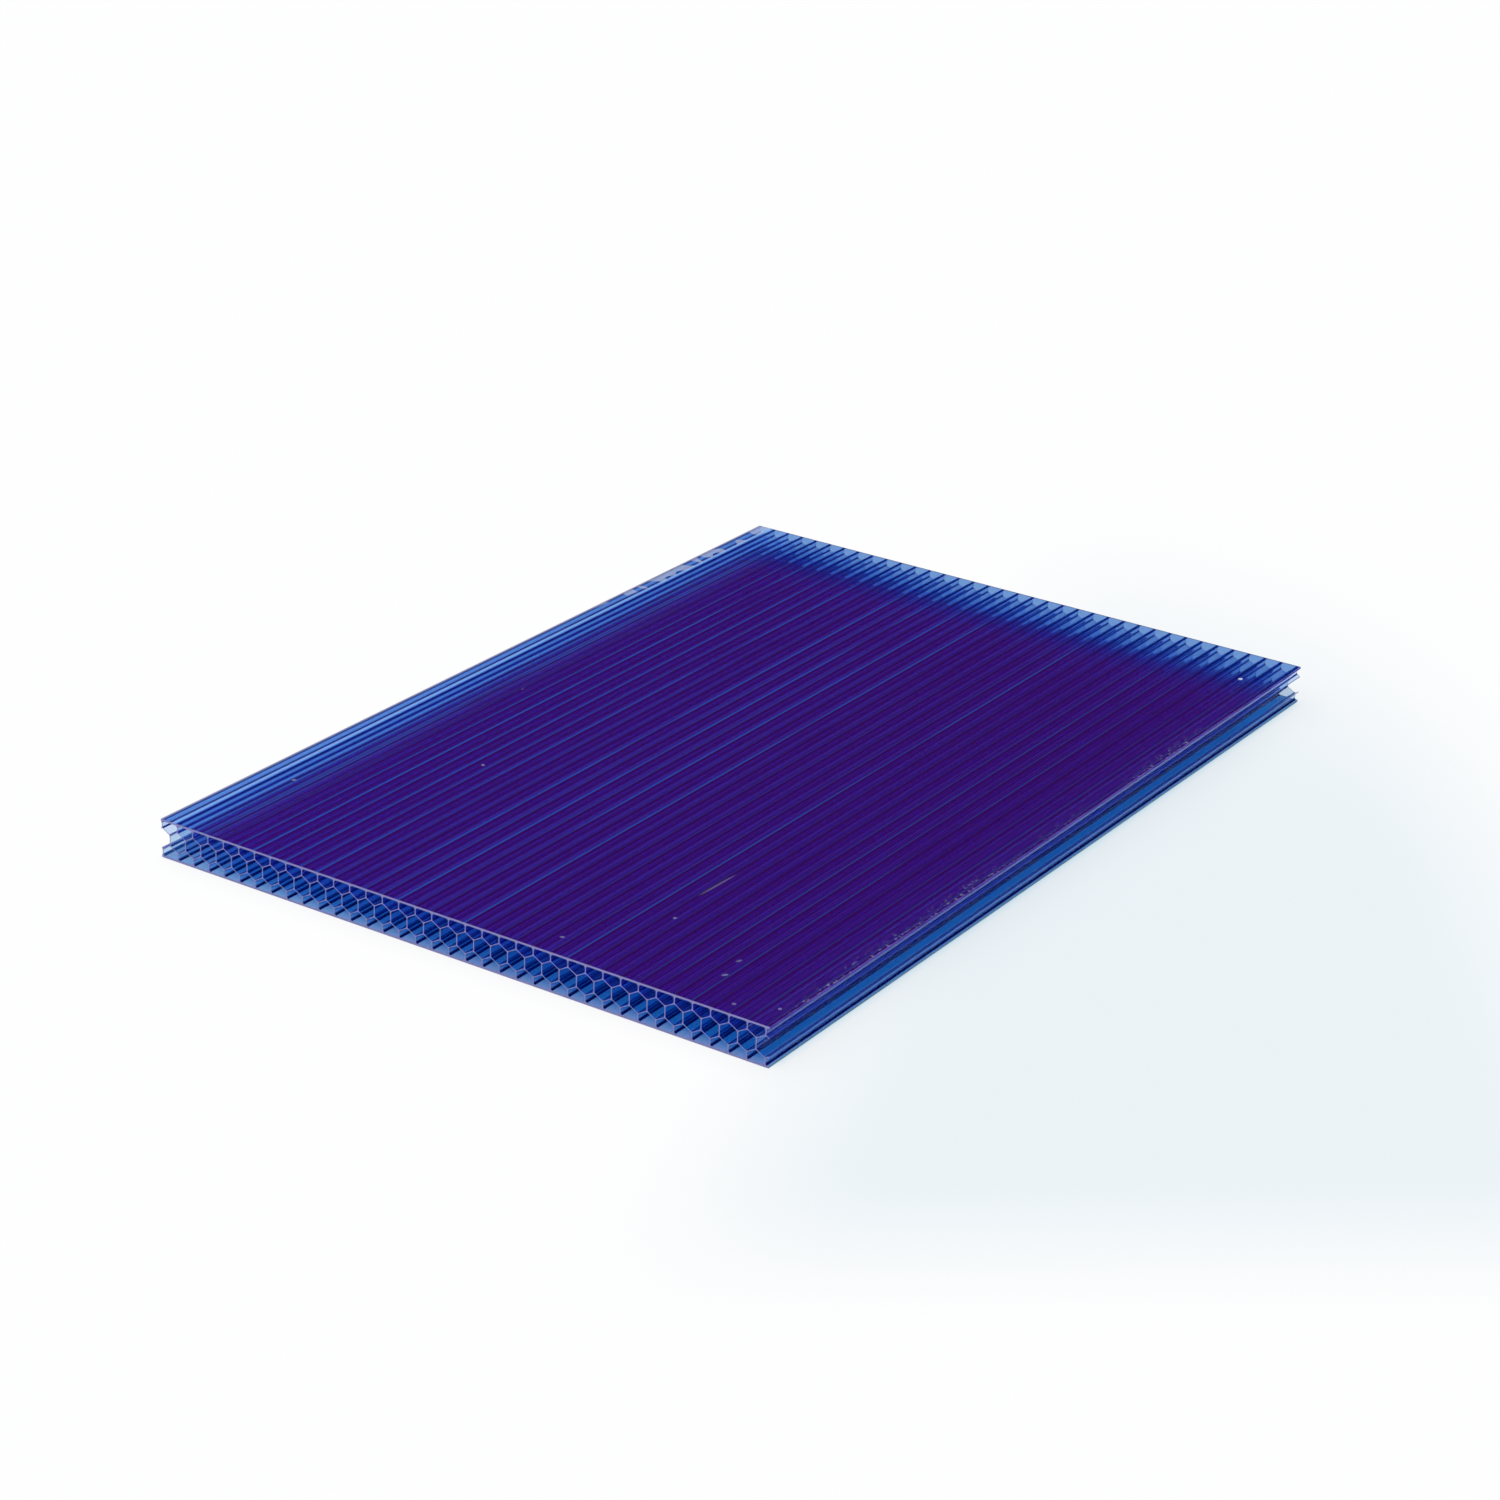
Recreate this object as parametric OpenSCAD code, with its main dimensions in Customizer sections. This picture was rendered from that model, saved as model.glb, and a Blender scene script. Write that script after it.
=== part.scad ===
// Multiwall polycarbonate sheet with a honeycomb core, extruded in one piece and sawn to size.
// X runs across the flutes, Y along them, Z is up. The origin is at the centre of the underside.

/* [Sheet] */
// Width across the flutes, between the two sawn long edges
sheet_w = 207.5; // [60:0.5:420]
// Length along the flutes, between the two sawn ends
sheet_l = 305; // [60:1:1200]
// Overall thickness, over both skins
sheet_t = 12; // [10:0.5:20]
// Thickness of each outer skin
skin_t = 0.6; // [0.3:0.05:0.9]

/* [Honeycomb core] */
// Pitch of the upright webs, which is the width of one flute
cell_pitch = 5.72; // [4.5:0.01:7.5]
// Angle of the slanting webs above level
slant_angle = 30; // [20:1:38]
// Height of the upright walls between the hexagonal flutes, centre to centre of their junctions
wall_h = 3.3; // [2:0.1:4]
// Thickness of the upright webs and walls
web_t = 0.3; // [0.15:0.01:0.6]
// Thickness of the slanting webs
slant_t = 0.22; // [0.15:0.01:0.5]
// Fillet radius where the webs meet each other and the skins
fillet_r = 0.7; // [0.1:0.05:0.9]
// Distance from the left long edge to the centre of the first upright web
first_web_x = 0.4; // [0.2:0.1:2.8]

/* [Hidden] */

// Straight steps that make up each fillet of the section
fillet_steps = 2;

half_pitch = cell_pitch / 2;
mid_z = sheet_t / 2;
slant_rise = half_pitch * tan(slant_angle);
// Heights of the junctions above mid thickness: foot of a slanting web, and its head
foot_z = wall_h / 2;
head_z = foot_z + slant_rise;
// Half the clear width of a flute, and half a slanting web measured straight up
clear_x = half_pitch - web_t / 2;
slant_half_z = slant_t / 2 / cos(slant_angle);
// Height of the inside of each skin above mid thickness
skin_z = mid_z - skin_t;
first_x = -sheet_w / 2 + first_web_x;
// Upright webs that lie inside the width
web_count = floor((sheet_w - first_web_x) / cell_pitch) + 1;

// Unit vector from a to b
function toward(a, b) = (b - a) / norm(b - a);

// Points of the arc that rounds corner p, which has a before it and b after it
function round_corner(a, p, b, r) =
    let (
        u = toward(p, a),
        v = toward(p, b),
        half_angle = acos(u * v) / 2,
        reach = min(r / tan(half_angle), 0.45 * norm(a - p), 0.45 * norm(b - p)),
        radius = reach * tan(half_angle),
        centre = p + toward([0, 0], u + v) * (radius / sin(half_angle)),
        start = p + u * reach - centre,
        turn = 180 - 2 * half_angle
    )
    [for (i = [0 : fillet_steps])
        let (w = turn * i / fillet_steps)
        centre + [
            start.x * cos(w) - start.y * sin(w),
            start.x * sin(w) + start.y * cos(w)
        ]];

// A counterclockwise outline with every corner rounded
function rounded(points, r) =
    let (n = len(points))
    [for (i = [0 : n - 1])
        each round_corner(points[(i + n - 1) % n], points[i], points[(i + 1) % n], r)];

// Height of the lower face of a slanting web at x from the flute's centre, over a hexagonal flute
function roof_z(x) = head_z - slant_half_z - x * tan(slant_angle);

// Height of the upper face of a slanting web at x from the flute's centre, under an outer flute
function floor_z(x) = foot_z + slant_half_z + x * tan(slant_angle);

// Flute of the middle row: a hexagon between two upright walls, centred on an upright web
module middle_flute() {
    polygon(rounded([
        [0, -roof_z(0)],
        [clear_x, -roof_z(clear_x)],
        [clear_x, roof_z(clear_x)],
        [0, roof_z(0)],
        [-clear_x, roof_z(clear_x)],
        [-clear_x, -roof_z(clear_x)]
    ], fillet_r));
}

// Flute of an outer row: a pentagon between two upright webs, closed by the skin
module outer_flute() {
    polygon(rounded([
        [0, floor_z(0)],
        [clear_x, floor_z(clear_x)],
        [clear_x, skin_z],
        [-clear_x, skin_z],
        [-clear_x, floor_z(clear_x)]
    ], fillet_r));
}

// Every flute of the section, with the ones that the long edges cut through
module flutes() {
    for (i = [0 : web_count])
        translate([first_x + i * cell_pitch - half_pitch, mid_z]) {
            outer_flute();
            mirror([0, 1]) outer_flute();
        }
    for (i = [0 : web_count - 1])
        translate([first_x + i * cell_pitch, mid_z]) middle_flute();
}

// Section across the flutes, as it leaves the die, sawn at both long edges
module section() {
    difference() {
        translate([-sheet_w / 2, 0]) square([sheet_w, sheet_t]);
        flutes();
    }
}

module sheet() {
    color("mediumblue", 0.8)
        translate([0, sheet_l / 2, 0])
            rotate([90, 0, 0])
                linear_extrude(height = sheet_l) section();
}

sheet();
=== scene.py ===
"""Dresses, lights and stages a honeycomb multiwall polycarbonate sheet. Lengths are in metres, in the part's frame."""

import bpy
import numpy as np
from mathutils import Matrix, Vector
from mathutils.geometry import delaunay_2d_cdt


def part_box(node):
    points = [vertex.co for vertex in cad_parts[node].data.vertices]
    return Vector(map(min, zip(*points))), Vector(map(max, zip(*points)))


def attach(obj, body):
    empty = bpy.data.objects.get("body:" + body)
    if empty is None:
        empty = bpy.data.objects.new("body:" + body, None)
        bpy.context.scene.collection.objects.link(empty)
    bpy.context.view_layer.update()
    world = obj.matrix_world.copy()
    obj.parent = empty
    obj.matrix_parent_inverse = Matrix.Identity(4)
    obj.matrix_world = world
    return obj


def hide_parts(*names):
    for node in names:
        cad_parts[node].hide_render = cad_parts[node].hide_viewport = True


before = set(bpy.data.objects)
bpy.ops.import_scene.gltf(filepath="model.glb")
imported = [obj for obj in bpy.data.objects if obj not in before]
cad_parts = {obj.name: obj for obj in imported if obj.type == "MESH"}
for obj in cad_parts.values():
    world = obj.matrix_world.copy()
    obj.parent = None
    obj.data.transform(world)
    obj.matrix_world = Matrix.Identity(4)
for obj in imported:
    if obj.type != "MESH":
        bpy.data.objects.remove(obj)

bl_info = {
    "name": "Honeycomb multiwall sheet",
    "version": (1, 0, 0),
    "blender": (4, 5, 0),
    "location": "3D View > Sidebar > Multiwall",
    "description": "Extrudes, finishes and stages a honeycomb multiwall polycarbonate sheet",
    "category": "Object",
}

# The solid's own size, and half of it across the flutes and along them
WIDTH, LENGTH, THICKNESS = (float(high - low) for low, high in zip(*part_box("sheet")))
HALF_WIDTH, HALF_LENGTH = WIDTH / 2, LENGTH / 2

# Kinds of face: the wall of a flute, the outside of a skin, an end cut across the flutes, a cut along them
FLUTE_WALL, SKIN_FACE, SAWN_END, SAWN_SIDE = range(4)

# Marks on the top skin: x, y, half length and half width in mm, turn in degrees, strength. The real ones are half as
# wide, which is too fine to show.
MARKS = (
    (93.0, 131.5, 0.80, 0.90, 0, 1.00),
    (-80.4, -14.2, 0.60, 0.60, 0, 0.18),
    (-54.6, -67.2, 0.60, 0.70, 0, 0.36),
    (-91.4, -109.2, 0.90, 0.60, 40, 0.30),
    (48.5, -115.9, 0.60, 0.70, 0, 0.28),
    (31.1, -143.5, 0.80, 0.60, 20, 0.24),
    (78.2, -135.4, 1.20, 0.60, 60, 0.24),
    (76.6, -126.5, 1.10, 0.60, 70, 0.18),
    (89.3, -147.5, 0.70, 0.70, 0, 0.22),
    (100.3, -142.6, 0.60, 0.70, 0, 0.26),
    (46.1, -92.0, 9.50, 0.40, 88, 0.16),
)


def linear(hex_colour):
    """The linear RGB of a written sRGB colour: its lower part is a straight line, and the rest a power of 2.4."""
    s = np.array([int(hex_colour[i : i + 2], 16) for i in (0, 2, 4)]) / 255
    return tuple(float(c) for c in np.where(s <= 0.04045, s / 12.92, ((s + 0.055) / 1.055) ** 2.4))


def length_property(name, description, default):
    return bpy.props.FloatProperty(
        name=name, description=description, default=default, min=0, precision=5, subtype="DISTANCE", unit="LENGTH"
    )


def colour_property(name, description, hex_colour):
    return bpy.props.FloatVectorProperty(
        name=name, description=description, default=linear(hex_colour), size=3, min=0, max=1, subtype="COLOR"
    )


class SectionSizes(bpy.types.PropertyGroup):
    """Sizes of the extruded section."""

    pitch: length_property("Flute pitch", "Distance from one upright web to the next", 0.00572)
    first_web: length_property("First web", "Left long edge to the centre of the first upright web", 0.0004)
    skin: length_property("Skin", "Thickness of each outer skin", 0.0006)
    wall: length_property("Wall height", "Height of the upright walls between hexagonal flutes", 0.0033)
    web: length_property("Web", "Thickness of the upright webs and walls", 0.0003)
    slant_web: length_property("Slanting web", "Thickness of the slanting webs", 0.00022)
    fillet: length_property("Fillet", "Radius where webs meet each other and the skins", 0.0007)
    slant: bpy.props.FloatProperty(
        name="Slant", description="Angle of the slanting webs above level", default=np.radians(30), subtype="ANGLE"
    )
    arc_steps: bpy.props.IntProperty(name="Arc steps", description="Straight steps in each fillet", default=4, min=1)


class PlasticColours(bpy.types.PropertyGroup):
    """Colours of the tinted plastic and of what the saw and handling left on it."""

    tint: colour_property("Tint", "Daylight that comes through one skin", "97BFEA")
    # Painted shade: the skins' tint over the right-hand part of the core
    painted_right_shade: colour_property("Depth", "Share of it that a skin lets out again over the deepest part", "DCC6DC")
    low_haze: colour_property("Lower flute haze", "Light that the walls of the lower flutes scatter back", "030E44")
    high_haze: colour_property("Upper flute haze", "Light that the walls of the upper flutes scatter back", "1E1362")
    skin_haze: colour_property("Skin haze", "Light that a skin scatters back, away from its open edges", "310346")
    # Painted light: the haze that the skins show near their left and far edges
    painted_edge_light: colour_property("Edge haze", "Light that a skin scatters back near its left and far edges", "000B48")
    # Painted light: the lines of light over the upright webs
    web_glow: colour_property("Web line", "Line on a skin over an upright web that carries much light", "2A62C4")
    dim_web_glow: colour_property("Dim web line", "The same over one that carries none", "331876")
    # Painted light: lines over the slanting webs and beside the first web
    slanting_web_glow: colour_property("Slanting web line", "Line over a slanting web near the left edge", "2C457C")
    first_web_glow: colour_property("First line", "Pale line on a skin beside the first web", "5D769B")
    frost: colour_property("Sawn end", "Light that the sawn ends scatter back", "ACAAE4")
    frost_through: colour_property("Sawn end, lit through", "Light that they scatter from behind", "9090E0")
    mark: colour_property("Mark", "Bright bruise, chip or scratch in a skin", "E6EEFF")
    # The blue seen through the cut along the flutes, painted on it as a matt colour, lighter on the lower skin
    side_seen_through: colour_property("Sawn side", "Cut along the flutes", "3835AD")
    low_side_seen_through: colour_property("Sawn side, low", "Cut along the flutes, on the lower skin", "A0DCFF")
    brow: colour_property("Brow", "Rough top corner of the cut along the flutes", "A078F4")


class StageSettings(bpy.types.PropertyGroup):
    """Floor, lights and camera."""

    floor: colour_property("Floor", "White painted board that the sheet lies on", "FAFBFC")
    # Painted shadow on the floor beside the right and near sides of the sheet
    side_shade: colour_property("Cool side", "Floor to the right of the sheet", "E8F1F6")
    glow_left: colour_property("Shade, left", "Blue shade on the floor under the left side of the sheet", "7CC0EA")
    glow_right: colour_property("Shade, right", "Blue shade on the floor under the right side of the sheet", "46BEE8")
    light: bpy.props.FloatProperty(name="Softbox", description="Strength of the large softbox", default=3.2, min=0)
    spread: bpy.props.FloatProperty(
        name="Spread", description="Angle that the softbox fills", default=np.radians(100), subtype="ANGLE"
    )
    room: bpy.props.FloatProperty(name="Room", description="Strength of the light from all around", default=0.015, min=0)
    lens: bpy.props.FloatProperty(
        name="Lens", description="Focal length", default=88.864, min=1, subtype="DISTANCE_CAMERA", unit="CAMERA"
    )


def unit(vectors):
    """Each vector divided by its own length."""
    return vectors / np.linalg.norm(vectors, axis=-1, keepdims=True)


def rounded(corners, radius, steps):
    """A counterclockwise outline with every corner rounded, and the way that each of its points faces.

    The arc of a corner touches both sides at the radius over the tangent of half its angle, at most 0.45 of a side,
    and its centre is on the line that halves the corner."""
    p = np.asarray(corners, float)
    before, after = np.roll(p, 1, 0) - p, np.roll(p, -1, 0) - p
    u, v = unit(before), unit(after)
    half = np.arccos(np.sum(u * v, 1)) / 2
    sides = np.stack([np.linalg.norm(before, axis=1), np.linalg.norm(after, axis=1)])
    reach = np.minimum(radius / np.tan(half), 0.45 * sides.min(0))
    arc_radius = reach * np.tan(half)
    centre = p + unit(u + v) * (arc_radius / np.sin(half))[:, None]
    start = p + u * reach[:, None] - centre
    turn = (np.pi - 2 * half)[:, None] * np.linspace(0, 1, steps + 1)
    c, s = np.cos(turn), np.sin(turn)
    arc = np.stack([start[:, :1] * c - start[:, 1:] * s, start[:, :1] * s + start[:, 1:] * c], -1)
    return (centre[:, None] + arc).reshape(-1, 2), unit(arc).reshape(-1, 2)


def flute_outlines(sizes):
    """Outlines of all flutes in (x, z), each with its normals.

    A hexagonal flute is centred on each upright web, and a five-sided one above and below fills each gap between
    two webs. A slanting web rises from its foot, at half the wall height, by half a pitch times the tangent."""
    half_pitch, steep = sizes.pitch / 2, np.tan(sizes.slant)
    foot = sizes.wall / 2
    head = foot + half_pitch * steep
    clear = half_pitch - sizes.web / 2
    half_slant = sizes.slant_web / 2 / np.cos(sizes.slant)
    middle, skin = THICKNESS / 2, THICKNESS / 2 - sizes.skin
    peak, shoulder = head - half_slant, head - half_slant - clear * steep
    valley, brim = foot + half_slant, foot + half_slant + clear * steep
    hexagon = rounded(
        [(0, -peak), (clear, -shoulder), (clear, shoulder), (0, peak), (-clear, shoulder), (-clear, -shoulder)],
        sizes.fillet, sizes.arc_steps,
    )
    upper = rounded(
        [(0, valley), (clear, brim), (clear, skin), (-clear, skin), (-clear, brim)], sizes.fillet, sizes.arc_steps
    )
    lower = tuple(part[::-1] * (1, -1) for part in upper)
    count = int((WIDTH - sizes.first_web) / sizes.pitch) + 1
    webs = sizes.first_web - HALF_WIDTH + sizes.pitch * np.arange(count + 1)
    outer = [(row[0] + (x - half_pitch, middle), row[1]) for x in webs for row in (upper, lower)]
    return outer + [(hexagon[0] + (x, middle), hexagon[1]) for x in webs[:-1]]


def cut_open(points, normals, side):
    """The run of an outline that lies inside a sawn side, ending where straight lines cross the cut on both ends."""
    inside = points[:, 0] * side < HALF_WIDTH
    first = np.flatnonzero(inside & ~np.roll(inside, 1))[0]
    p, n, count = np.roll(points, -first, 0), np.roll(normals, -first, 0), int(inside.sum())
    a, b = p[[-1, count - 1]], p[[0, count]]
    share = (HALF_WIDTH * side - a[:, 0]) / (b[:, 0] - a[:, 0])
    ends = a + (b - a) * share[:, None]
    return np.vstack([ends[0], p[:count], ends[1]]), np.vstack([n[0], n[:count], n[count - 1]])


def section_runs(sizes):
    """The section's outer outline as runs of (points, normals, kind of face), counterclockwise with each flute that
    a saw cut opened as a notch in it, and the outlines of the whole flutes. Normals point out of the plastic."""
    whole, notches = [], {1: [], -1: []}
    for points, normals in flute_outlines(sizes):
        left, right = points[:, 0].min(), points[:, 0].max()
        if left > -HALF_WIDTH and right < HALF_WIDTH:
            whole.append((points, -normals))
        elif right > -HALF_WIDTH and left < HALF_WIDTH:
            side = 1 if right >= HALF_WIDTH else -1
            notches[side].append(cut_open(points, normals, side))
    runs = []

    def straight(a, b, normal, kind):
        runs.append((np.array([a, b], float), np.array([normal, normal], float), kind))

    straight((-HALF_WIDTH, 0), (HALF_WIDTH, 0), (0, -1), SKIN_FACE)
    for side, start, end in ((1, 0.0, THICKNESS), (-1, THICKNESS, 0.0)):
        x, z = side * HALF_WIDTH, start
        for points, normals in sorted(notches[side], key=lambda notch: side * notch[0][:, 1].mean()):
            if (points[-1, 1] - points[0, 1]) * side < 0:
                points, normals = points[::-1], normals[::-1]
            straight((x, z), (x, points[0, 1]), (side, 0), SAWN_SIDE)
            runs.append((points, -normals, FLUTE_WALL))
            z = points[-1, 1]
        straight((x, z), (x, end), (side, 0), SAWN_SIDE)
        if side == 1:
            straight((HALF_WIDTH, THICKNESS), (-HALF_WIDTH, THICKNESS), (0, 1), SKIN_FACE)
    return runs, whole


def end_triangles(points, edges, loops):
    """The section's own area as triangles whose corners run counterclockwise in (x, z).

    A constrained triangulation keeps every edge of the section, and a triangle is plastic where only the outer
    outline covers it, with the hollow of each flute turned the other way round."""
    found = delaunay_2d_cdt(
        [Vector(p) for p in points * 1000], edges.tolist(), [loop.tolist() for loop in loops], 1, 1e-7
    )
    made_from, faces, covered_by = found[3], found[2], found[5]
    if len(found[0]) != len(points):
        raise RuntimeError("outlines of the section cross each other")
    source = np.array([origin[0] for origin in made_from])
    corners = source[np.array([f for f, cover in zip(faces, covered_by) if len(cover) == len(loops)])]
    p = points[corners]
    turn = np.cross(p[:, 1] - p[:, 0], p[:, 2] - p[:, 0])
    return np.where(turn[:, None] > 0, corners, corners[:, ::-1])


def extruded_mesh(sizes):
    """The section carried straight along Y, from one sawn end to the other, and closed by it at both ends.

    Each side of an outline is one long four-cornered face whose corners keep the arc's own normals, so that fillets
    are smooth and the plastic's corners stay sharp. The kind of each face is kept in three attributes."""
    runs, whole = section_runs(sizes)
    outer = np.vstack([points[:-1] for points, _, _ in runs])
    index = np.arange(len(outer))
    rings, loops = [outer], [index]
    starts, ends = [index], [np.roll(index, -1)]
    start_normals = [normals[:-1] for _, normals, _ in runs]
    end_normals = [normals[1:] for _, normals, _ in runs]
    kinds = [np.full(len(points) - 1, kind) for points, _, kind in runs]
    base = len(outer)
    for points, normals in whole:
        # Turned clockwise, so that the plastic is on the left of every side of every outline
        points, normals = points[::-1], normals[::-1]
        index = base + np.arange(len(points))
        rings.append(points)
        loops.append(index)
        starts.append(index)
        ends.append(np.roll(index, -1))
        start_normals.append(normals)
        end_normals.append(np.roll(normals, -1, 0))
        kinds.append(np.full(len(points), FLUTE_WALL))
        base += len(points)
    section = np.vstack(rings)
    a, b = np.concatenate(starts), np.concatenate(ends)
    at_a, at_b = np.vstack(start_normals), np.vstack(end_normals)
    cap = end_triangles(section, np.stack([a, b], 1), loops)
    count = len(section)
    points = np.zeros((2, count, 3))
    points[..., 0], points[..., 2] = section[:, 0], section[:, 1]
    points[0, :, 1], points[1, :, 1] = -HALF_LENGTH, HALF_LENGTH
    sides = np.stack([b, a, a + count, b + count], 1)
    side_normals = np.zeros((len(sides), 4, 3))
    side_normals[..., 0] = np.stack([at_b[:, 0], at_a[:, 0], at_a[:, 0], at_b[:, 0]], 1)
    side_normals[..., 2] = np.stack([at_b[:, 1], at_a[:, 1], at_a[:, 1], at_b[:, 1]], 1)
    cap_normals = np.zeros((2, len(cap), 3, 3))
    cap_normals[0, ..., 1], cap_normals[1, ..., 1] = -1, 1
    mesh = bpy.data.meshes.new("extruded_sheet")
    mesh.from_pydata(
        points.reshape(-1, 3).tolist(), [], sides.tolist() + cap.tolist() + (cap[:, ::-1] + count).tolist()
    )
    kind = np.concatenate(kinds + [np.full(2 * len(cap), SAWN_END)])
    for name, matches in (("skin", (SKIN_FACE,)), ("sawn_end", (SAWN_END,)), ("sawn_side", (SAWN_SIDE,))):
        values = np.isin(kind, matches).astype(np.float32)
        mesh.attributes.new(name, "FLOAT", "FACE").data.foreach_set("value", values)
    mesh.polygons.foreach_set("use_smooth", np.ones(len(kind), bool))
    mesh.normals_split_custom_set(np.vstack([side_normals.reshape(-1, 3), cap_normals.reshape(-1, 3)]).tolist())
    mesh.update()
    return mesh


def add_node(tree, kind, links=None, **settings):
    """Adds one node with its settings, and gives each input, by name or place, a value or the output that feeds it."""
    node = tree.nodes.new(kind)
    for name, value in settings.items():
        setattr(node, name, value)
    for key, value in (links or {}).items():
        socket = node.inputs[key] if isinstance(key, int) else next(s for s in node.inputs if s.enabled and s.name == key)
        if isinstance(value, bpy.types.NodeSocket):
            tree.links.new(value, socket)
        else:
            socket.default_value = value
    return node


def polycarbonate(sizes, colours):
    """Polycarbonate, coloured blue in the melt and extruded. Its walls are clear and glossy, refract at 1.585 and take
    red out of the light most, so that one wall is pale blue, a few are deep blue and the whole core is violet black;
    the skins are painted darker still towards the right, and painted light stands as lines and blue edges on them.
    The saw leaves the ends matt and pale."""
    material = bpy.data.materials.new("extruded_blue_polycarbonate")
    material.use_nodes = True
    tree = material.node_tree
    tree.nodes.clear()

    def math(operation, *values, **settings):
        return add_node(tree, "ShaderNodeMath", dict(enumerate(values)), operation=operation, **settings).outputs[0]

    # What a skin lets through falls off evenly with depth, so the absorption per metre is minus the logarithm of the
    # tint over the skin's thickness. The shader takes it as a density and the share that is not absorbed.
    absorbed = -np.log(np.array(colours.tint)) / sizes.skin
    density = float(absorbed.max()) * 1.02
    body = add_node(
        tree, "ShaderNodeVolumeAbsorption", {"Color": (*(1 - absorbed / density), 1), "Density": density}
    )
    skin = add_node(tree, "ShaderNodeAttribute", attribute_name="skin").outputs["Fac"]
    sawn_end = add_node(tree, "ShaderNodeAttribute", attribute_name="sawn_end").outputs["Fac"]
    sawn_side = add_node(tree, "ShaderNodeAttribute", attribute_name="sawn_side").outputs["Fac"]
    place = add_node(tree, "ShaderNodeTexCoord").outputs["Object"]
    x, y, z = add_node(tree, "ShaderNodeSeparateXYZ", {0: place}).outputs

    def ramp(value, zero_at, one_at):
        return add_node(
            tree, "ShaderNodeMapRange", {0: value, 1: zero_at, 2: one_at}, interpolation_type="SMOOTHSTEP"
        ).outputs[0]

    def blend(share, low, high):
        return add_node(tree, "ShaderNodeMix", {"Factor": share, "A": low, "B": high}, data_type="RGBA").outputs[2]

    def noise(scale, detail=0.0):
        return add_node(tree, "ShaderNodeTexNoise", {0: place, "Scale": scale, "Detail": detail}).outputs["Fac"]

    def colour(name):
        return (*getattr(colours, name), 1)

    # Haze of the skins: violet over the core. Near the left and far edges it is painted light, plain blue, where light
    # comes in through the open flutes
    from_left = math("ADD", x, HALF_WIDTH)
    from_far = ramp(y, HALF_LENGTH - 0.014, HALF_LENGTH - 0.040)
    away_from_lit_edges = math("MULTIPLY", ramp(from_left, 0.007, 0.019), from_far)
    skin_haze = blend(away_from_lit_edges, colour("painted_edge_light"), colour("skin_haze"))

    # Painted light: the light piped up each upright web is painted on the top skin as a matt line about 0.5 mm wide,
    # 0.3 mm to its left. Some webs carry more than others, and each one more or less of it every 60 mm or so.
    from_first = math("SUBTRACT", x, sizes.first_web - HALF_WIDTH)
    web_number = math("ROUND", math("DIVIDE", from_first, sizes.pitch))
    share = add_node(tree, "ShaderNodeTexWhiteNoise", {"W": web_number}, noise_dimensions="1D").outputs["Value"]
    stretched = add_node(tree, "ShaderNodeMapping", {0: place, 3: (60, 16, 0)}).outputs[0]
    along = add_node(tree, "ShaderNodeTexNoise", {0: stretched, "Scale": 1.0, "Detail": 0.0}).outputs["Fac"]
    uneven = math("MULTIPLY", math("MULTIPLY_ADD", ramp(share, 0.2, 0.9), 0.85, 0.15), ramp(along, 0.15, 0.50))
    carried = math("MULTIPLY", uneven, ramp(x, HALF_WIDTH + 0.10, -0.05))
    over_web = ramp(math("PINGPONG", math("ADD", from_first, 0.0003), sizes.pitch / 2), 0.00040, 0.00014)

    # Painted light: within 25 mm of the left edge the slanting webs carry it too, and the first of them is painted pale
    to_slanting = math("PINGPONG", math("SUBTRACT", from_first, sizes.pitch / 4), sizes.pitch / 4)
    slanting = math("MULTIPLY", ramp(to_slanting, 0.0009, 0.0003), math("MULTIPLY", ramp(from_left, 0.026, 0.010), 0.8))
    lined = blend(slanting, skin_haze, colour("slanting_web_glow"))
    first_web_glow = ramp(math("ABSOLUTE", math("SUBTRACT", from_left, 0.0046)), 0.0009, 0.0003)
    lined = blend(first_web_glow, lined, colour("first_web_glow"))
    flute_haze = blend(ramp(z, 0.0065, 0.0095), colour("low_haze"), colour("high_haze"))
    haze_colour = blend(skin, flute_haze, lined)

    # Painted shade: the skins are tinted darker towards the right and away from the far edge, where least light comes
    # back out through them, so that the core is deepest there
    right_shade_share = math("MULTIPLY", math("MULTIPLY", ramp(x, -0.09, 0.01), from_far), skin)
    # The web that stands just inside the right-hand cut mirrors the floor less than the others
    mirrors_fully = math("MAXIMUM", skin, ramp(x, HALF_WIDTH - 0.0008, HALF_WIDTH - 0.0016))
    clear = add_node(
        tree, "ShaderNodeBsdfPrincipled",
        {
            "Base Color": blend(right_shade_share, (1, 1, 1, 1), colour("painted_right_shade")), "Roughness": 0.0, "IOR": 1.585,
            "Transmission Weight": 1.0, "Specular Tint": mirrors_fully,
        },
    ).outputs[0]
    haze = add_node(tree, "ShaderNodeBsdfDiffuse", {"Color": haze_colour}).outputs[0]
    wall = add_node(tree, "ShaderNodeAddShader", {0: clear, 1: haze}).outputs[0]

    # Marks on the top: each is an ellipse in its own turned and scaled coordinates, soft at the rim
    marked = None
    for mark_x, mark_y, half_long, half_wide, turn, strength in MARKS:
        own = add_node(
            tree, "ShaderNodeMapping",
            {
                0: place, 1: (mark_x / 1000, mark_y / 1000, THICKNESS), 2: (0, 0, float(np.radians(turn))),
                3: (half_long / 1000, half_wide / 1000, 0.0005),
            },
            vector_type="TEXTURE",
        ).outputs[0]
        radius = add_node(tree, "ShaderNodeVectorMath", {0: own}, operation="LENGTH").outputs["Value"]
        spot = math("MULTIPLY", ramp(radius, 1.0, 0.7), strength)
        marked = spot if marked is None else math("MAXIMUM", marked, spot)

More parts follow.
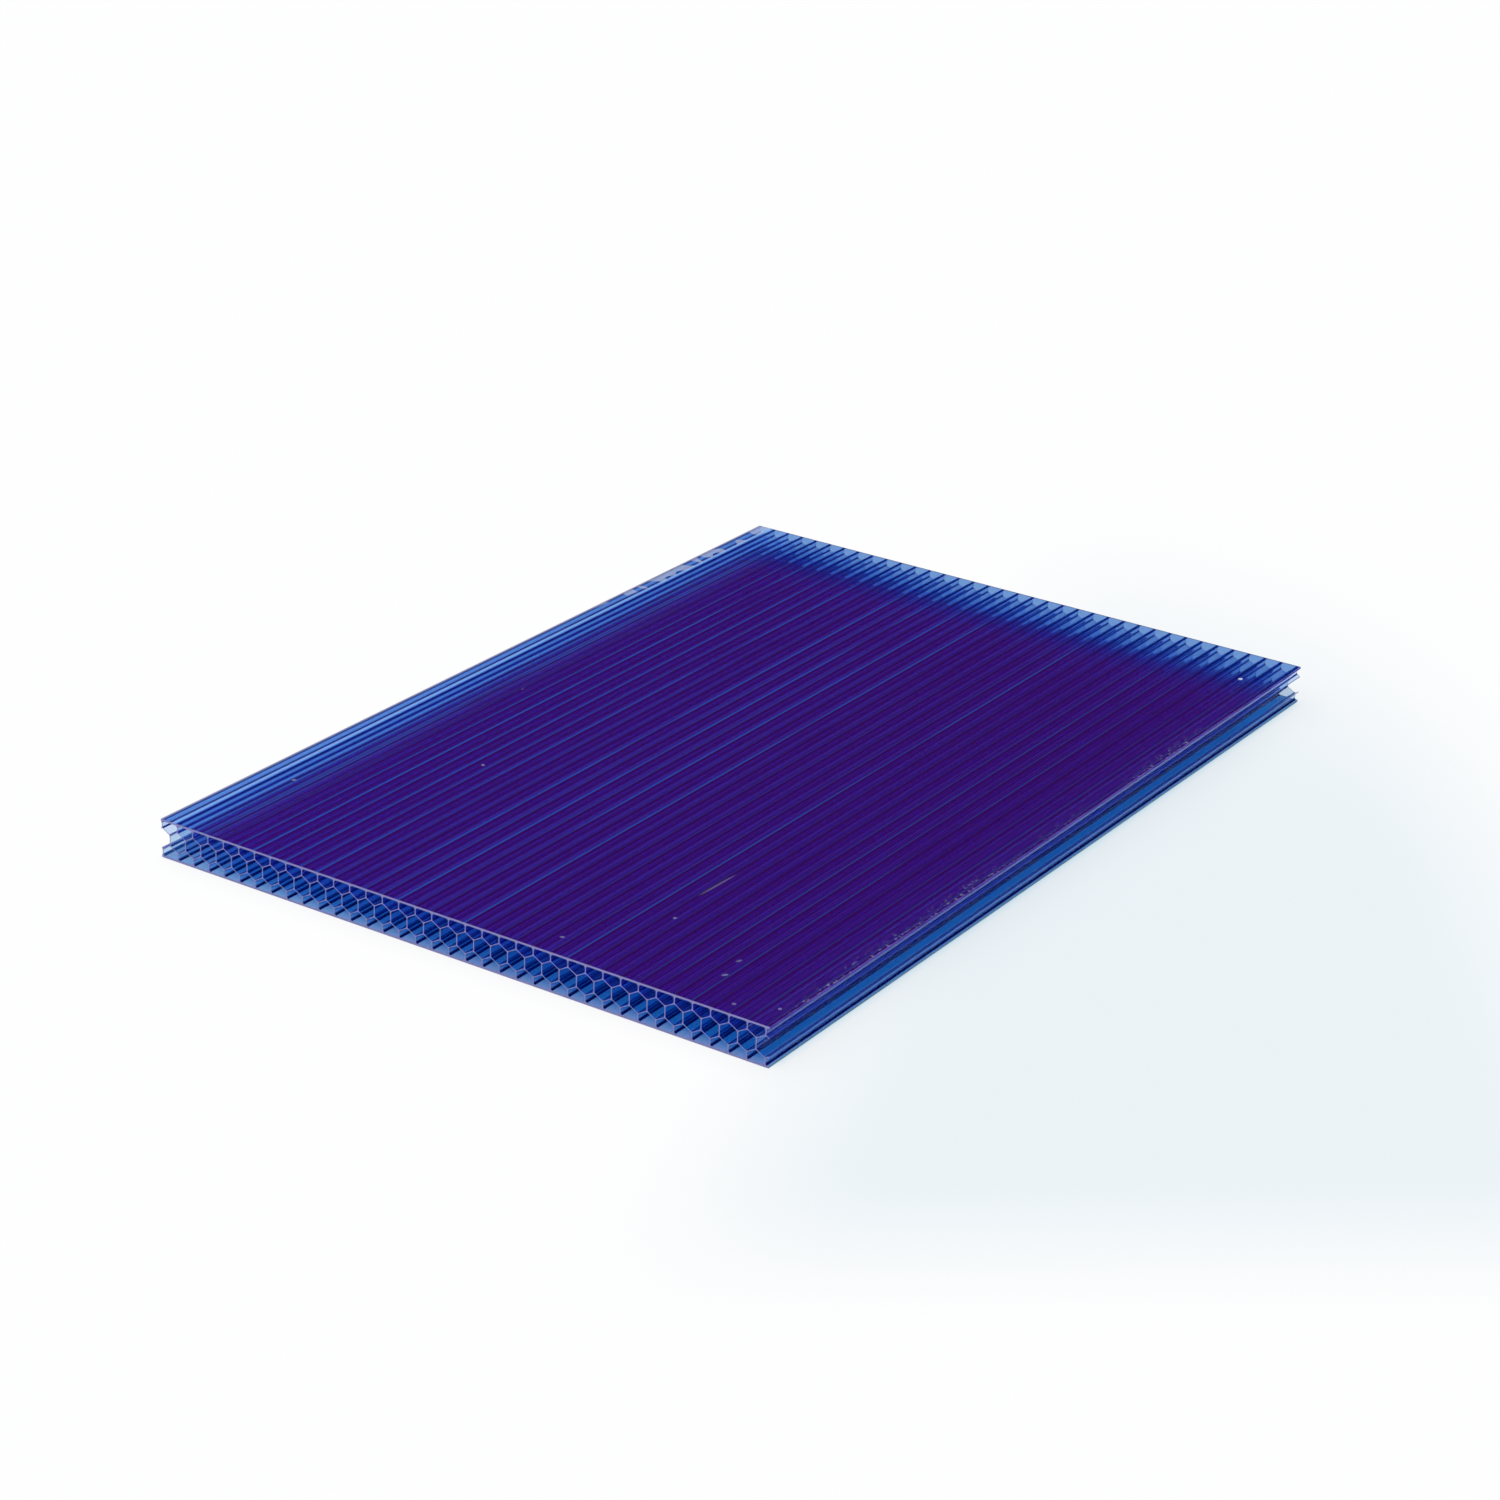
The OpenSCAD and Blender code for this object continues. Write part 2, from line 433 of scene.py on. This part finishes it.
    # Chips that the saw left in the top skin beside the right long edge, 0.5 to 2 mm across, in patches, and a matt
    # rim along the left one, about 1 mm wide and up to 5 mm towards its far end
    patches = noise(22.0)
    chips = math("MULTIPLY", math("MULTIPLY", ramp(noise(900.0), 0.60, 0.72), ramp(patches, 0.48, 0.62)), ramp(x, HALF_WIDTH - 0.0045, HALF_WIDTH))
    marked = math("MAXIMUM", marked, math("MULTIPLY", chips, 0.3))
    wider = math("MULTIPLY", math("MULTIPLY", ramp(y, 0.05, 0.09), ramp(noise(160.0), 0.42, 0.56)), 0.0040)
    rim = ramp(math("SUBTRACT", from_left, wider), 0.0013, 0.0002)
    marked = math("MULTIPLY", math("MAXIMUM", marked, math("MULTIPLY", rim, 0.42)), skin)
    on_top = math("MULTIPLY", skin, math("GREATER_THAN", z, THICKNESS / 2))
    painted_glow = math("MULTIPLY", math("MULTIPLY", over_web, away_from_lit_edges), on_top)

    # A cut across the flutes is matt and pale all over. A cut along them is smoother, and painted matt with the deep
    # blue that is seen through it, lighter on the lower skin, with a pale rough line along its top corner.
    brow = math("MULTIPLY", ramp(z, THICKNESS - 0.0006, THICKNESS - 0.0002), math("MULTIPLY_ADD", ramp(noise(140.0, 1.0), 0.35, 0.65), 0.6, 0.4))
    side_colour = blend(brow, blend(ramp(z, 0.0012, 0.0006), colour("side_seen_through"), colour("low_side_seen_through")), colour("brow"))
    # Painted light: the matt line over a web is lighter where the web carries more light
    glow_colour = blend(carried, colour("dim_web_glow"), colour("web_glow"))
    top_colour = blend(math("GREATER_THAN", painted_glow, marked), colour("mark"), glow_colour)

    def matt_colour(end_colour):
        return blend(skin, blend(sawn_side, colour(end_colour), side_colour), top_colour)

    matt = add_node(tree, "ShaderNodeBsdfDiffuse", {"Color": matt_colour("frost")}).outputs[0]
    lit_through = add_node(tree, "ShaderNodeBsdfTranslucent", {"Color": matt_colour("frost_through")}).outputs[0]
    scattering = add_node(tree, "ShaderNodeMixShader", {0: 0.3, 1: matt, 2: lit_through}).outputs[0]
    matt_share = math("MAXIMUM", math("ADD", sawn_end, sawn_side), math("MAXIMUM", marked, painted_glow))
    surface = add_node(tree, "ShaderNodeMixShader", {0: matt_share, 1: wall, 2: scattering}).outputs[0]
    add_node(tree, "ShaderNodeOutputMaterial", {"Surface": surface, "Volume": body.outputs[0]})
    return material


def painted_board(settings):
    """Smooth board, painted matt white. It shows its own white to the eye and through the plastic, and still takes the
    sheet's shadow. The light that the sheet lets down is blue, so the board is painted blue under it as shade, and a
    soft shadow is painted on it beside the sheet's right and near sides."""
    material = bpy.data.materials.new("painted_board")
    material.use_nodes = True
    tree = material.node_tree
    tree.nodes.clear()

    def ramp(value, zero_at, one_at, kind="SMOOTHSTEP"):
        return add_node(
            tree, "ShaderNodeMapRange", {0: value, 1: zero_at, 2: one_at}, interpolation_type=kind
        ).outputs[0]

    def math(operation, a, b):
        return add_node(tree, "ShaderNodeMath", {0: a, 1: b}, operation=operation).outputs[0]

    place = add_node(tree, "ShaderNodeTexCoord").outputs["Object"]
    x, y, _ = add_node(tree, "ShaderNodeSeparateXYZ", {0: place}).outputs
    # The shade is soft: it fades over 28 mm at the left, where the light comes from, and over 9 mm elsewhere
    across = math("MULTIPLY", ramp(x, -HALF_WIDTH, 0.025 - HALF_WIDTH), ramp(x, HALF_WIDTH + 0.003, HALF_WIDTH - 0.006))
    along = math("MULTIPLY", ramp(y, -HALF_LENGTH, 0.006 - HALF_LENGTH), ramp(y, HALF_LENGTH + 0.003, HALF_LENGTH - 0.006))
    shade = add_node(
        tree, "ShaderNodeMix",
        {"Factor": ramp(x, -HALF_WIDTH, HALF_WIDTH, "LINEAR"), "A": (*settings.glow_left, 1), "B": (*settings.glow_right, 1)},
        data_type="RGBA",
    ).outputs[2]
    # Painted shadow: a soft cool-grey pool of shade on the floor beside the right and near sides
    def toward(direction):
        return add_node(tree, "ShaderNodeVectorMath", {0: place, 1: direction}, operation="DOT_PRODUCT").outputs["Value"]

    near = math("MULTIPLY", ramp(toward((1, 0.35, 0)), 0.02, 0.10), ramp(y, 0.30, 0.05))
    ends = math("MULTIPLY", ramp(toward((0.83, 0.56, 0)), 0.26, 0.17), ramp(toward((0.61, -0.79, 0)), 0.31, 0.23))
    side_shade_share = math("MULTIPLY", near, ends)
    bare = add_node(
        tree, "ShaderNodeMix", {"Factor": side_shade_share, "A": (1, 1, 1, 1), "B": (*settings.side_shade, 1)}, data_type="RGBA"
    ).outputs[2]
    seen = add_node(
        tree, "ShaderNodeMix", {"Factor": math("MULTIPLY", across, along), "A": bare, "B": shade}, data_type="RGBA"
    ).outputs[2]
    matt = add_node(tree, "ShaderNodeBsdfDiffuse", {"Color": (*settings.floor, 1)}).outputs[0]
    shown = add_node(tree, "ShaderNodeEmission", {"Color": seen, "Strength": 1.0}).outputs[0]
    ray = add_node(tree, "ShaderNodeLightPath").outputs
    direct = math("MAXIMUM", math("MAXIMUM", ray["Is Camera Ray"], ray["Is Glossy Ray"]), ray["Is Transmission Ray"])
    surface = add_node(tree, "ShaderNodeMixShader", {0: math("MULTIPLY", direct, 0.85), 1: matt, 2: shown}).outputs[0]
    add_node(tree, "ShaderNodeOutputMaterial", {"Surface": surface})
    return material


class MULTIWALL_OT_sheet(bpy.types.Operator):
    """Extrude the honeycomb sheet in tinted polycarbonate, in place of the plain solid"""

    bl_idname = "multiwall.sheet"
    bl_label = "Extruded sheet"

    def execute(self, context):
        scene = context.scene
        mesh = extruded_mesh(scene.multiwall_section)
        mesh.materials.append(polycarbonate(scene.multiwall_section, scene.multiwall_plastic))
        piece = bpy.data.objects.new("extruded_sheet", mesh)
        scene.collection.objects.link(piece)
        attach(piece, "root")
        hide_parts("sheet")
        return {"FINISHED"}


class MULTIWALL_OT_stage(bpy.types.Operator):
    """Lay the floor, hang the softbox and set up the camera"""

    bl_idname = "multiwall.stage"
    bl_label = "Floor, light and camera"

    def execute(self, context):
        scene, settings = context.scene, context.scene.multiwall_stage
        scene.view_settings.view_transform = "Standard"

        # The floor lies 0.2 mm under the sheet, as paint on a board that is never quite flat does
        reach, under = 12.0, -0.0002
        board = bpy.data.meshes.new("floor")
        board.from_pydata([(-reach, -reach, under), (reach, -reach, under), (reach, reach, under), (-reach, reach, under)], [], [(0, 1, 2, 3)])
        board.materials.append(painted_board(settings))
        floor = bpy.data.objects.new("floor", board)
        scene.collection.objects.link(floor)

        softbox = bpy.data.lights.new("softbox", "SUN")
        softbox.energy, softbox.angle = settings.light, settings.spread
        lamp = bpy.data.objects.new("softbox", softbox)
        lamp.rotation_euler = Vector((0.25, 0.17, -0.95)).to_track_quat("-Z", "Y").to_euler()
        scene.collection.objects.link(lamp)
        # The room is dim, and white where the camera sees it past the floor
        room = bpy.data.worlds.new("room")
        room.use_nodes = True
        tree = room.node_tree
        seen = add_node(tree, "ShaderNodeLightPath").outputs["Is Camera Ray"]
        strength = add_node(tree, "ShaderNodeMath", {0: seen, 1: settings.room}, operation="MAXIMUM").outputs[0]
        background = tree.nodes["Background"]
        background.inputs["Color"].default_value = (1, 1, 1, 1)
        tree.links.new(strength, background.inputs["Strength"])
        scene.world = room

        # The camera's own right, down and forward, and where it stands
        right = Vector((0.82911983, 0.55828589, 0.02961694))
        down = Vector((0.24727999, -0.31869743, -0.91503254))
        ahead = Vector((-0.50141092, 0.76599531, -0.40229129))
        camera = bpy.data.objects.new("camera", bpy.data.cameras.new("camera"))
        camera.matrix_world = Matrix.Translation((0.55601062, -0.85685737, 0.45686899)) @ Matrix((right, -down, -ahead)).transposed().to_4x4()
        camera.data.sensor_width, camera.data.lens = 36, settings.lens
        camera.data.clip_start, camera.data.clip_end = 0.01, 50
        scene.collection.objects.link(camera)
        scene.camera = camera

        # A ray crosses two faces of every wall in its way, so it needs many bounces to come out of the core
        scene.cycles.max_bounces = 96
        scene.cycles.transmission_bounces = 96
        scene.cycles.glossy_bounces = 96
        scene.cycles.transparent_max_bounces = 64
        scene.cycles.diffuse_bounces = 6
        return {"FINISHED"}


GROUPS = {
    "multiwall_section": SectionSizes,
    "multiwall_plastic": PlasticColours,
    "multiwall_stage": StageSettings,
}
OPERATORS = (MULTIWALL_OT_sheet, MULTIWALL_OT_stage)


class MULTIWALL_PT_panel(bpy.types.Panel):
    """Sizes, colours and steps of the sheet"""

    bl_idname = "MULTIWALL_PT_panel"
    bl_label = "Multiwall sheet"
    bl_space_type = "VIEW_3D"
    bl_region_type = "UI"
    bl_category = "Multiwall"

    def draw(self, context):
        for name, group in GROUPS.items():
            box = self.layout.box()
            for key in group.__annotations__:
                box.prop(getattr(context.scene, name), key)
        for operator in OPERATORS:
            self.layout.operator(operator.bl_idname)


def register():
    for cls in (*GROUPS.values(), *OPERATORS, MULTIWALL_PT_panel):
        bpy.utils.register_class(cls)
    for name, group in GROUPS.items():
        setattr(bpy.types.Scene, name, bpy.props.PointerProperty(type=group))


def unregister():
    for name in GROUPS:
        delattr(bpy.types.Scene, name)
    for cls in reversed((*GROUPS.values(), *OPERATORS, MULTIWALL_PT_panel)):
        bpy.utils.unregister_class(cls)


def main():
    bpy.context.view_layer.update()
    register()
    bpy.ops.multiwall.sheet()
    bpy.ops.multiwall.stage()


if __name__ == "__main__":
    main()
